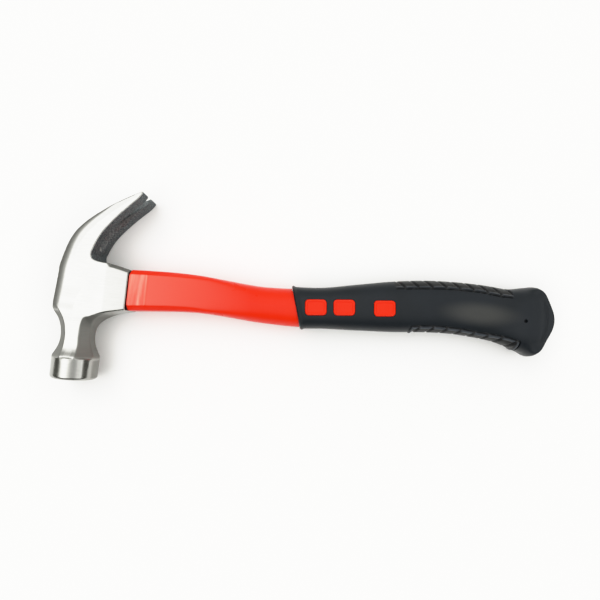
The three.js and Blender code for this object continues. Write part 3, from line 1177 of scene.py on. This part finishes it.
BUTT_X = 310.0               # mm, from the eye's centre to the butt's end
BUTT_FROM_X = 291.0          # mm, where the butt's own outline starts
GRIP_OUTLINE = HandleOutline(
    Curve([(134, 12.2), (156, 13.2), (180, 17.4), (204, 21.6), (228, 24.2), (252, 24.7), (268, 24), (280, 23),
           (291.6, 24.9), (297.4, 25.6), (301, 24), (306.6, 15.4), (BUTT_X, 5.4)]),
    Curve([(134, -16.2), (156, -14.1), (182, -13.1), (206, -12.1), (230, -10.3), (244, -10), (258, -10.8),
           (276, -13.4), (291, -18.5), (296.6, -20.6), (301, -18), (305, -10.8), (BUTT_X, 2)]),
    Curve([(134, 11.6), (157, 11.6), (190, 12.2), (235, 12.9), (262, 12.6), (280, 13), (293, 14.3),
           (300, 13.9), (306, 10.8), (BUTT_X, 6.5)]),
    Curve([(134, 2.7), (157, 2.5), (235, 2.3), (285, 2.5), (BUTT_X, 2.6)]),
)
SEAM_TOP = (137.0, 11.5)
SEAM_BOTTOM = (144.8, -16.3)
SEAM_SLOPE = (SEAM_BOTTOM[0] - SEAM_TOP[0]) / (SEAM_BOTTOM[1] - SEAM_TOP[1])


def seam_x(y: Array) -> Array:
    """Returns where the slanted seam between jacket and grip is at a height."""
    return SEAM_TOP[0] + SEAM_SLOPE * (y - SEAM_TOP[1])


@dataclass
class Jacket:
    """The glossy moulding round the core, bare from the socket to the slanted seam."""

    start_x: float = 32.6
    collar: float = 0.45
    collar_end_x: float = 44.0
    edge_drop: float = 0.3
    edge_run: float = 0.5
    lean_grows: Span = (100.0, 135.0)
    pole_y: Span = (0.3, 2.0)
    end_x: float = 297.0
    wall: float = 2.9
    front_rings: int = 190
    under_rings: int = 60
    around: int = 144
    top: Curve = Curve([(30, 13.7), (46, 14.2), (62, 14.4), (78, 13.9), (92, 12.9), (104, 12), (115, 11.4),
                        (128, 11.7), (150, 12.8)])
    bottom: Curve = Curve([(30, -13.2), (46, -12), (62, -10.9), (76, -10.5), (92, -11.4), (106, -13),
                           (119, -14.4), (133, -15.1), (150, -15)])
    half: Curve = Curve([(30, 10.9), (60, 10.5), (90, 10.3), (120, 10.6), (150, 11)])
    power: Curve = Curve([(30, 44), (60, 40), (76, 22), (88, 9), (100, 4.6), (112, 3.2), (150, 2.6)])
    leg: Curve = Curve([(30, 3.5), (60, 3.4), (76, 3.2), (100, 2), (120, 0.6), (150, 0)])

    def bare(self, x: Array, turn: Array) -> Array:
        """Shapes the bare part's skin, flat-sided with chamfers near the socket.

        Args:
            x: how far along the handle, in millimetres.
            turn: the angle round the section, zero on the claw's side.

        Returns:
            The x, y and z of each place.
        """
        high, low, half = self.top(x), self.bottom(x), self.half(x)
        reach = (high - low) / 2
        c, s = np.abs(np.cos(turn)), np.abs(np.sin(turn))
        power = self.power(x)
        chamfer = reach + half - self.leg(x)
        sum_of_sides = (c / reach) ** power + (s / half) ** power + ((c + s) / chamfer) ** power
        radius = sum_of_sides ** (-1.0 / power)
        radius = radius - self.edge_drop * (1 - smooth_step(self.start_x, self.start_x + self.edge_run, x))
        share = (x - self.start_x) / (self.collar_end_x - self.start_x)
        held = 1 - smooth_step(self.collar_end_x, self.collar_end_x + self.edge_run, x)
        swell = 1 + self.collar / half * share * held
        y = (high + low) / 2 + radius * np.cos(turn)
        return np.stack([x, y, radius * swell * np.sin(turn)], axis=1)

    def place(self, ring: Array, turn: Array) -> Array:
        """Places the wrapped grid's vertices: along the bare part, then on under the grip.

        Args:
            ring: the number of each vertex's ring, from the socket on.
            turn: its angle round the section.

        Returns:
            The x, y and z of each vertex.
        """
        front, under = self.front_rings, self.under_rings
        share = np.clip((ring - 1) / (front - 2), 0.0, 1.0)
        x = self.start_x + share * (SEAM_TOP[0] - self.start_x)
        lean = smooth_step(*self.lean_grows, x)
        places = self.bare(x, turn)
        for _ in range(3):
            tilted = x + lean * (seam_x(places[:, 1]) - SEAM_TOP[0])
            places = self.bare(tilted, turn)
        on_way = np.clip((ring - front) / (under - 2), 0.0, 1.0)
        start = places[:, 0]
        inner_x = start + on_way * (self.end_x - start)
        inner = GRIP_OUTLINE.ring(inner_x, turn, np.full(len(x), self.wall))
        places = np.where((ring >= front)[:, None], inner, places)
        places[ring == 0] = (self.start_x, self.pole_y[0], 0.0)
        places[ring == front + under - 1] = (self.end_x, self.pole_y[1], 0.0)
        return places

    def build(self) -> Piece:
        """Returns the jacket, in place of the CAD jacket."""
        piece = wrapped_skin("jacket_shell", self.front_rings + self.under_rings, self.around, self.place)
        shade(piece, 32.0)
        ORANGE.dress(piece)
        hand_over(piece, "red_polypropylene", "handle_jacket")
        return piece


@dataclass
class WindowPads:
    """Three rounded pads of the jacket on each side that stand in windows of the grip."""

    length: float = 13.6
    height: float = 10.0
    corner: float = 2.3
    tilt: float = math.radians(4.5)
    proud: float = 0.25
    rim: float = 1.3
    dish: float = 0.35
    edge: float = 0.35
    edge_rise: float = 0.3
    floor_edge: float = 0.4
    depth: float = 3.0
    clearance: float = 0.35
    reach: float = 20.0
    centres: tuple[tuple[float, float], ...] = ((153.6, -0.6), (171.8, 0.8), (197.7, 2.4))

    def block(self, name: str, grow: float, low: float, high: float) -> Piece:
        """Returns a rounded block between two heights, square to the mid-plane and centred on it.

        Args:
            name: the new object's name.
            grow: how much larger than a pad it is all round, in millimetres.
            low: its lowest z.
            high: its highest z.

        Returns:
            The block at the world's origin, in metres.
        """
        bpy.ops.object.select_all(action="DESELECT")
        bpy.ops.mesh.primitive_cube_add(size=1.0)
        piece = bpy.context.active_object
        piece.name = name
        piece.scale = ((self.length + 2 * grow) * MM, (self.height + 2 * grow) * MM, (high - low) * MM)
        piece.location = (0.0, 0.0, (low + high) / 2 * MM)
        apply_place(piece)
        start_edit(piece)
        bpy.ops.mesh.select_all(action="DESELECT")
        end_edit()
        for edge in piece.data.edges:
            a, b = (piece.data.vertices[i].co for i in edge.vertices)
            edge.select = abs(a.z - b.z) > 0.5 * (high - low) * MM
        bpy.ops.object.mode_set(mode="EDIT")
        bpy.ops.mesh.select_mode(type="EDGE")
        bpy.ops.mesh.bevel(offset=(self.corner + grow) * MM, segments=6, profile=0.5)
        bpy.ops.mesh.select_mode(type="FACE")
        end_edit()
        return piece

    def blank(self) -> Piece:
        """Returns a flat pad with a raised rim and a dished middle, at the world's origin."""
        piece = self.block("window_pad_blank", 0.0, -self.depth, 0.0)
        highest = max(polygon.center.z for polygon in piece.data.polygons)
        start_edit(piece)
        bpy.ops.mesh.select_all(action="DESELECT")
        end_edit()
        for polygon in piece.data.polygons:
            polygon.select = polygon.center.z > highest - 1e-6
        edit_faces()
        bpy.ops.mesh.inset(thickness=self.edge * MM, depth=self.edge_rise * MM)
        bpy.ops.mesh.inset(thickness=(self.rim - self.edge) * MM)
        bpy.ops.mesh.inset(thickness=self.dish * MM, depth=-self.dish * MM)
        bpy.ops.mesh.inset(thickness=self.floor_edge * MM)
        end_edit()
        apply_modifier(piece, "TRIANGULATE", min_vertices=5)
        apply_modifier(piece, "SUBSURF", levels=2, render_levels=2, subdivision_type="SIMPLE")
        return piece

    def lay(self, piece: Piece, centre: tuple[float, float], side: Side) -> None:
        """Lays a copy of the blank on the grip's curve and hands it over.

        Args:
            piece: the copy, at the world's origin.
            centre: the x and y of its middle, in millimetres from the eye's centre.
            side: the broad side of the tool that it goes on.
        """
        flat = vertex_rows(piece) / MM
        c, s = math.cos(self.tilt), math.sin(self.tilt)
        x = centre[0] + c * flat[:, 0] - s * flat[:, 1]
        y = centre[1] + s * flat[:, 0] + c * flat[:, 1]
        z = GRIP_OUTLINE.height(x, y) - self.edge_rise + self.proud + flat[:, 2]
        set_corners(piece, np.stack([x, y, side.value * z], axis=1))
        face_outward(piece)
        shade(piece, 30.0)
        ORANGE.dress(piece)
        hand_over(piece, "red_polypropylene", "handle_jacket")

    def build(self) -> None:
        """Models one pad and lays a copy of it in each of the six windows."""
        blank = self.blank()
        for side in Side:
            for number, centre in enumerate(self.centres, 1):
                self.lay(copied(f"window_pad_{side.name.lower()}_{number}", blank), centre, side)
        bpy.data.objects.remove(blank)

    def cutters(self) -> list[Piece]:
        """Returns blocks that cut the windows right through both walls of the grip."""
        found = []
        for number, (x, y) in enumerate(self.centres, 1):
            piece = self.block(f"window_cutter_{number}", self.clearance, -self.reach, self.reach)
            piece.rotation_euler = (0.0, 0.0, self.tilt)
            piece.location = to_frame(np.array([x, y, 0.0]))
            apply_place(piece)
            found.append(piece)
        return found


@dataclass
class RibPanel:
    """A panel of slanted ribs, bounded by a line on the grip's broad sides and by the grip's own edge."""

    edge: Curve
    start_x: float
    end_x: float
    outward: float
    pitch: float = 9.0
    land: float = 7.3
    slant: float = -0.85
    flank: float = 0.6
    first_rib: float = 1.0
    panel_edge: float = 0.5
    corner: float = 2.5
    corner_slope: float = 0.35
    depth: float = 1.1
    bead: float = 0.6
    shine: float = 1.0
    closed: bool = True

    def relief(self, places: Array) -> tuple[Array, Array, Array]:
        """Works out the panel's relief.

        Args:
            places: places on the grip's skin.

        Returns:
            How far the skin moves outward, how much it is panel and how much painted highlight the border's
            crest gets.
        """
        x, y, _ = places.T
        past_edge = (y - self.edge(x)) * self.outward
        past_start = (x - self.start_x) - self.corner_slope * np.maximum(self.corner - past_edge, 0.0)
        past_end = self.end_x - x
        inward = np.minimum(past_edge, np.minimum(past_start, past_end))
        inside = smooth_step(0.0, self.panel_edge, inward)
        phase = (x - self.start_x - self.slant * past_edge + self.first_rib) % self.pitch
        border = inward if self.closed else past_edge
        rise = band((0.0, self.flank), (self.land, self.land + self.flank), phase)
        groove = band((0.0, 0.4), (0.6, 1.1), border)
        bead = band((0.9, 1.3), (1.7, 2.3), border)
        ribs = inside * (self.bead * bead - self.depth * (1 - rise))
        return ribs - groove * self.depth * inside * rise, inside, bead * inside * rise * self.shine


@dataclass
class SoftGrip:
    """The rubber sleeve from the slanted seam to the flared butt, with its ribs, windows and pin hole."""

    wall: float = 2.75
    inner_rings: int = 40
    outer_rings: int = 330
    around: int = 168
    start_x: float = SEAM_TOP[0] + 0.3
    inner_end_x: float = 297.2
    inner_end_y: float = 2.0
    tip_y: float = 3.7
    lip: float = 0.7
    lip_at: float = 0.9
    lip_width: float = 1.2
    mouth_round: float = 0.5
    lean_fades: Span = (8.0, 60.0)
    pin: tuple[float, float] = (288.2, 2.0)
    pin_radius: float = 1.15
    plug_drop: float = 2.4
    plug_play: float = 0.02
    plug_rim: float = 0.25
    plug_slope: float = 0.2
    plug_dish: float = 0.3
    dome_reach: float = 2.4
    dome_round: float = 3.8
    dome_half: float = 12.0
    dome_from_x: float = 288.0
    crease_x: tuple[float, float] = (290.0, 300.0)
    dome_rise: float = 0.1
    plug_depth: float = 1.6
    panels: tuple[RibPanel, ...] = (
        RibPanel(
            Curve([(204, 15.4), (207, 15.7), (220, 16.8), (233, 17.9), (246, 18.1), (259, 17.9), (272, 16.4),
                   (281, 16)]),
            204.0, 281.0, 1.0, shine=0.55, closed=False,
        ),
        RibPanel(
            Curve([(214, -7.4), (222, -6.4), (235, -5.6), (248, -6), (261, -7.3), (274, -8.4), (282, -9.6),
                   (288, -11.4)]),
            215.5, 287.5, -1.0,
        ),
    )

    def place(self, ring: Array, turn: Array) -> Array:
        """Places the wrapped grid's vertices: up the inside, round the lip and down the outside.

        Args:
            ring: the number of each vertex's ring, from the inner end on.
            turn: its angle round the section.

        Returns:
            The x, y and z of each vertex.
        """
        inner, outer, start = self.inner_rings, self.outer_rings, self.start_x
        going_in = ring < inner
        in_share = 1.0 - np.clip((ring - 1) / (inner - 2), 0.0, 1.0)
        in_x = start + in_share * (self.inner_end_x - start)
        out_share = np.clip((ring - inner) / (outer - 1), 0.0, 1.0)
        out_x = start + out_share * (BUTT_X - start)
        x = np.where(going_in, in_x, out_x)
        past = x - start
        lip = self.lip * np.exp(-(((past - self.lip_at) / self.lip_width) ** 2))
        lip -= self.mouth_round * np.exp(-((past / self.mouth_round) ** 2))
        inset = np.where(going_in, self.wall, -lip)
        lean = 1.0 - smooth_step(*self.lean_fades, past)
        places = GRIP_OUTLINE.ring(x, turn, inset)
        for _ in range(3):
            tilted = x + lean * (seam_x(places[:, 1]) - SEAM_TOP[0])
            places = GRIP_OUTLINE.ring(tilted, turn, inset)
        places[ring == 0] = (self.inner_end_x, self.inner_end_y, 0.0)
        places[ring == inner + outer - 1] = (BUTT_X, self.tip_y, 0.0)
        end = (~going_in) & (places[:, 0] > self.dome_from_x)
        places[end] = self.domed(places[end])
        return places

    def domed(self, places: Array) -> Array:
        """Domes the butt's end, which meets its broad sides at a crease a little in from its outline.

        Args:
            places: places on the skin near the butt.

        Returns:
            The same places with their new height from the mid-plane.
        """
        outline = GRIP_OUTLINE.top.pairs + GRIP_OUTLINE.bottom.pairs[::-1]
        butt = [pair for pair in outline if pair[0] >= BUTT_FROM_X]
        depth = distance_to_line(places[:, :2], traced(butt))
        curve = np.sqrt(np.maximum(1 - (1 - np.minimum(depth, self.dome_reach) / self.dome_round) ** 2, 0.0))
        crease = math.sqrt(1 - (1 - self.dome_reach / self.dome_round) ** 2)
        height = self.dome_half * curve / crease
        side = np.abs(places[:, 2])
        past = smooth_step(*self.crease_x, places[:, 0])
        inner = np.maximum(side, self.dome_half + self.dome_rise * (depth - self.dome_reach))
        wanted = np.where(depth < self.dome_reach, height, inner)
        places[:, 2] = np.sign(places[:, 2]) * (side + past * (wanted - side))
        return places

    def emboss(self, piece: Piece) -> None:
        """Raises the ribs, paints where they are and paints a highlight along the crests of their borders.

        Args:
            piece: the grip's sleeve, still without its windows.
        """
        places = corners_of(piece)
        normals = vertex_rows(piece, "normal")
        outside = np.einsum("ij,ij->i", normals[:, 1:], places[:, 1:]) > 0.0
        moved = np.zeros(len(places))
        ribbed = np.zeros(len(places))
        painted_crest_highlight = np.zeros(len(places))
        for panel in self.panels:
            rise, inside, crest = panel.relief(places)
            moved += rise * outside
            ribbed = np.maximum(ribbed, inside * outside)
            painted_crest_highlight = np.maximum(painted_crest_highlight, crest * outside)
        set_corners(piece, places + normals * moved[:, None])
        paint(piece, "ribbed", ribbed)
        paint(piece, "painted_crest_highlight", painted_crest_highlight)

    def cut(self, piece: Piece, cutter: Piece) -> None:
        """Cuts one shape out of the grip and removes the cutter."""
        apply_modifier(piece, "BOOLEAN", operation="DIFFERENCE", object=cutter, solver="EXACT")
        bpy.data.objects.remove(cutter)

    def build(self, windows: WindowPads) -> Piece:
        """Models the grip, in place of the CAD grip.

        Args:
            windows: the pads that stand in its windows.

        Returns:
            The finished sleeve.
        """
        piece = wrapped_skin("soft_grip_sleeve", self.inner_rings + self.outer_rings, self.around, self.place)
        self.emboss(piece)
        for cutter in windows.cutters():
            self.cut(piece, cutter)
        bpy.ops.object.select_all(action="DESELECT")
        bpy.ops.mesh.primitive_cylinder_add(
            vertices=24, radius=self.pin_radius * MM, depth=60 * MM,
            location=to_frame(np.array([*self.pin, 0.0])),
        )
        cutter = bpy.context.active_object
        apply_place(cutter)
        self.cut(piece, cutter)
        shade(piece, 40.0)
        RUBBER.dress(piece)
        hand_over(piece, "black_soft_rubber", "soft_grip")
        self.plug()
        return piece

    def plug_blank(self) -> Piece:
        """Returns a dished plug for the pin hole, with its top at the world's origin."""
        bpy.ops.object.select_all(action="DESELECT")
        bpy.ops.mesh.primitive_cylinder_add(
            vertices=24, radius=(self.pin_radius - self.plug_play) * MM, depth=self.plug_depth * MM,
            location=(0.0, 0.0, -self.plug_depth / 2 * MM),
        )
        piece = bpy.context.active_object
        apply_place(piece)
        for polygon in piece.data.polygons:
            polygon.select = polygon.normal.z > 0.9
        edit_faces()
        bpy.ops.mesh.inset(thickness=self.plug_rim * MM)
        bpy.ops.mesh.inset(thickness=self.plug_slope * MM, depth=-self.plug_dish * MM)
        end_edit()
        return piece

    def plug(self) -> None:
        """Closes both ends of the pin hole with copies of one dished plug, below the rubber's skin."""
        blank = self.plug_blank()
        skin = float(GRIP_OUTLINE.height(np.array([self.pin[0]]), np.array([self.pin[1]]))[0])
        for side in Side:
            piece = copied(f"pin_plug_{side.name.lower()}", blank)
            places = vertex_rows(piece) / MM + (*self.pin, skin - self.plug_drop)
            set_corners(piece, places * (1, 1, side.value))
            face_outward(piece)
            shade(piece, 30.0)
            CAP.dress(piece)
            hand_over(piece, "black_moulding")
        bpy.data.objects.remove(blank)


# Small parts and CAD parts that keep their shape


@dataclass
class EyeFittings:
    """The moulded cap in the crown's end of the eye and the thin seal behind the socket."""

    bevel: float = 0.35
    panel: float = 2.4
    panel_step: float = 0.5
    squeeze: float = 0.32
    seal_bevel: float = 0.15

    def part(self, name: str, node: str) -> Piece:
        """Returns a merged copy of a CAD part, its flat faces in one piece each.

        Args:
            name: the new object's name.
            node: the CAD part's name.

        Returns:
            The copy, still to be shaped and dressed.
        """
        piece = copied(name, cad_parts[node])
        start_edit(piece)
        bpy.ops.mesh.remove_doubles(threshold=1e-6)
        bpy.ops.mesh.dissolve_limited(angle_limit=math.radians(1.0))
        end_edit()
        return piece

    def build(self) -> None:
        """Builds the cap and the seal."""
        cap = self.part("eye_cap_moulding", "eye_cap")
        only(cap)
        for polygon in cap.data.polygons:
            polygon.select = polygon.normal.x < -0.9
        edit_faces()
        bpy.ops.mesh.inset(thickness=self.panel * MM)
        bpy.ops.mesh.inset(thickness=self.panel_step * MM, depth=-self.panel_step * MM)
        end_edit()
        apply_modifier(cap, "BEVEL", width=self.bevel * MM, segments=3, limit_method="ANGLE")
        shade(cap, 35.0)
        CAP.dress(cap)
        hand_over(cap, "black_moulding", "eye_cap")
        seal = self.part("eye_seal_gasket", "eye_seal")
        places = corners_of(seal)
        places[:, 0] -= self.squeeze * (places[:, 0] > places[:, 0].mean())
        set_corners(seal, places)
        apply_modifier(seal, "BEVEL", width=self.seal_bevel * MM, segments=2, limit_method="ANGLE")
        shade(seal, 35.0)
        SEAL.dress(seal)
        hand_over(seal, "black_seal", "eye_seal")
        FIBREGLASS.dress(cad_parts["fibreglass_core"])
        EPOXY.dress(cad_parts["epoxy_bond"])


# Studio


@dataclass
class Studio:
    """A pale floor, a room of soft panels for light and the camera above the tool."""

    floor_size: float = 40.0     # m, so that its far edge stays small in low views
    floor_colour: str = "#FBFBF9"
    backdrop: str = "#F8F8F6"
    lens: float = 27.25
    camera_at: tuple[float, float, float] = (-0.007582, -0.018794, 0.316487)
    camera_turn: tuple[float, float, float] = (3.856, -0.948, 4.881)
    sky: float = 4.2
    face_wall: tuple[float, float] = (-0.8, -0.45)
    face_wall_colour: str = "#2A2A28"
    claw_wall: tuple[float, float] = (0.5, 0.85)
    claw_wall_colour: str = "#7C7C79"
    white: float = 1.4
    shoulder: tuple[tuple[float, float], ...] = ((0.1, 0.14), (0.3, 0.41), (0.5, 0.65), (0.714, 0.85))
    brightest: tuple[float, float] = (1.0, 0.955)

    def floor(self) -> None:
        """Lays the floor under the tool."""
        bpy.ops.object.select_all(action="DESELECT")
        bpy.ops.mesh.primitive_plane_add(size=self.floor_size, location=(0.0, 0.0, 0.0))
        plane = bpy.context.active_object
        plane.name = "floor"
        material = bpy.data.materials.new("floor_paper")
        material.use_nodes = True
        shader = material.node_tree.nodes["Principled BSDF"]
        shader.inputs["Base Color"].default_value = linear(self.floor_colour)
        shader.inputs["Roughness"].default_value = 0.9
        plane.data.materials.append(material)

    def surroundings(self) -> None:
        """Lights the scene from a room of soft panels that run along Y, at set angles from overhead."""
        world = bpy.data.worlds.new("studio")
        bpy.context.scene.world = world
        world.use_nodes = True
        tree = world.node_tree
        tree.nodes.clear()
        way = add_node(tree, "ShaderNodeTexCoord").outputs["Generated"]
        parts = add_node(tree, "ShaderNodeSeparateXYZ", {"Vector": way}).outputs
        lean = add_node(tree, "ShaderNodeMath", {0: parts["X"], 1: parts["Z"]}, operation="ARCTAN2")
        turn = add_node(tree, "ShaderNodeMath", {0: lean.outputs[0], 1: 1 / (2 * math.pi), 2: 0.5},
                        operation="MULTIPLY_ADD")
        panels = [
            (-180, "#7C7C79"), (-130, "#5C5C5A"), (-92, "#4A4A48"), (-76, "#34342F"), (-66, "#2A2A26"),
            (-54, "#3E3E3A"), (-42, "#E8E8E4"), (-37, "#FFFFFF"), (-20, "#FFFFFF"), (-12, "#E4E4E2"),
            (-3, "#B4B4B2"), (6, "#8C8C8A"), (18, "#7E7E7D"), (30, "#8A8A89"), (40, "#B8B8B6"),
            (55, "#B8B8B6"), (58, "#FFFFFF"), (61, "#4C4C46"), (68, "#30302B"), (96, "#343432"),
            (108, "#474746"), (150, "#5C5C5A"), (180, "#7C7C79"),
        ]
        stops = [(angle / 360 + 0.5, colour) for angle, colour in panels]
        row = add_node(tree, "ShaderNodeValToRGB", {"Fac": turn.outputs[0]}, stops).outputs["Color"]
        past_face_wall = add_node(tree, "ShaderNodeMapRange", {
            "Value": parts["Y"], "From Min": self.face_wall[0], "From Max": self.face_wall[1],
        }, interpolation_type="SMOOTHSTEP").outputs["Result"]
        past_claw_wall = add_node(tree, "ShaderNodeMapRange", {
            "Value": parts["Y"], "From Min": self.claw_wall[0], "From Max": self.claw_wall[1],
        }, interpolation_type="SMOOTHSTEP").outputs["Result"]
        with_face_wall = add_node(tree, "ShaderNodeMix", {
            0: past_face_wall, 6: linear(self.face_wall_colour), 7: row,
        }, data_type="RGBA").outputs[2]
        colour = add_node(tree, "ShaderNodeMix", {
            0: past_claw_wall, 6: with_face_wall, 7: linear(self.claw_wall_colour),
        }, data_type="RGBA").outputs[2]
        room = add_node(tree, "ShaderNodeBackground", {"Color": colour, "Strength": self.sky})
        plain = add_node(tree, "ShaderNodeBackground", {"Color": linear(self.backdrop), "Strength": 1.0})
        seen = add_node(tree, "ShaderNodeLightPath").outputs["Is Camera Ray"]
        both = add_node(tree, "ShaderNodeMixShader", {0: seen, 1: room.outputs[0], 2: plain.outputs[0]})
        add_node(tree, "ShaderNodeOutputWorld", {"Surface": both.outputs[0]})

    def camera(self) -> None:
        """Places the camera over the tool, leaning slightly."""
        data = bpy.data.cameras.new("camera")
        data.lens = self.lens
        data.sensor_width = 36.0
        data.clip_start = 0.01
        camera = bpy.data.objects.new("camera", data)
        camera.location = self.camera_at
        camera.rotation_euler = tuple(math.radians(angle) for angle in self.camera_turn)
        bpy.context.scene.collection.objects.link(camera)
        bpy.context.scene.camera = camera

    def tone(self) -> None:
        """Rolls the brightest tones off softly, as film does, so that pale paper keeps its shadows light."""
        settings = bpy.context.scene.view_settings
        settings.view_transform = "Standard"
        settings.use_curve_mapping = True
        mapping = settings.curve_mapping
        mapping.white_level = (self.white,) * 3
        curve = mapping.curves[3]
        for place, value in self.shoulder:
            curve.points.new(place, value)
        curve.points[-1].location = self.brightest
        mapping.update()

    def build(self) -> None:
        """Sets up floor, light, camera and plain colour handling."""
        self.floor()
        self.surroundings()
        self.camera()
        self.tone()


def main() -> None:
    """Builds the tool piece by piece, then the studio."""
    logging.basicConfig(level=logging.INFO, format="%(name)s %(message)s")
    ForgedHead().build()
    Jacket().build()
    pads = WindowPads()
    SoftGrip().build(pads)
    pads.build()
    EyeFittings().build()
    Studio().build()


if __name__ == "__main__":
    main()
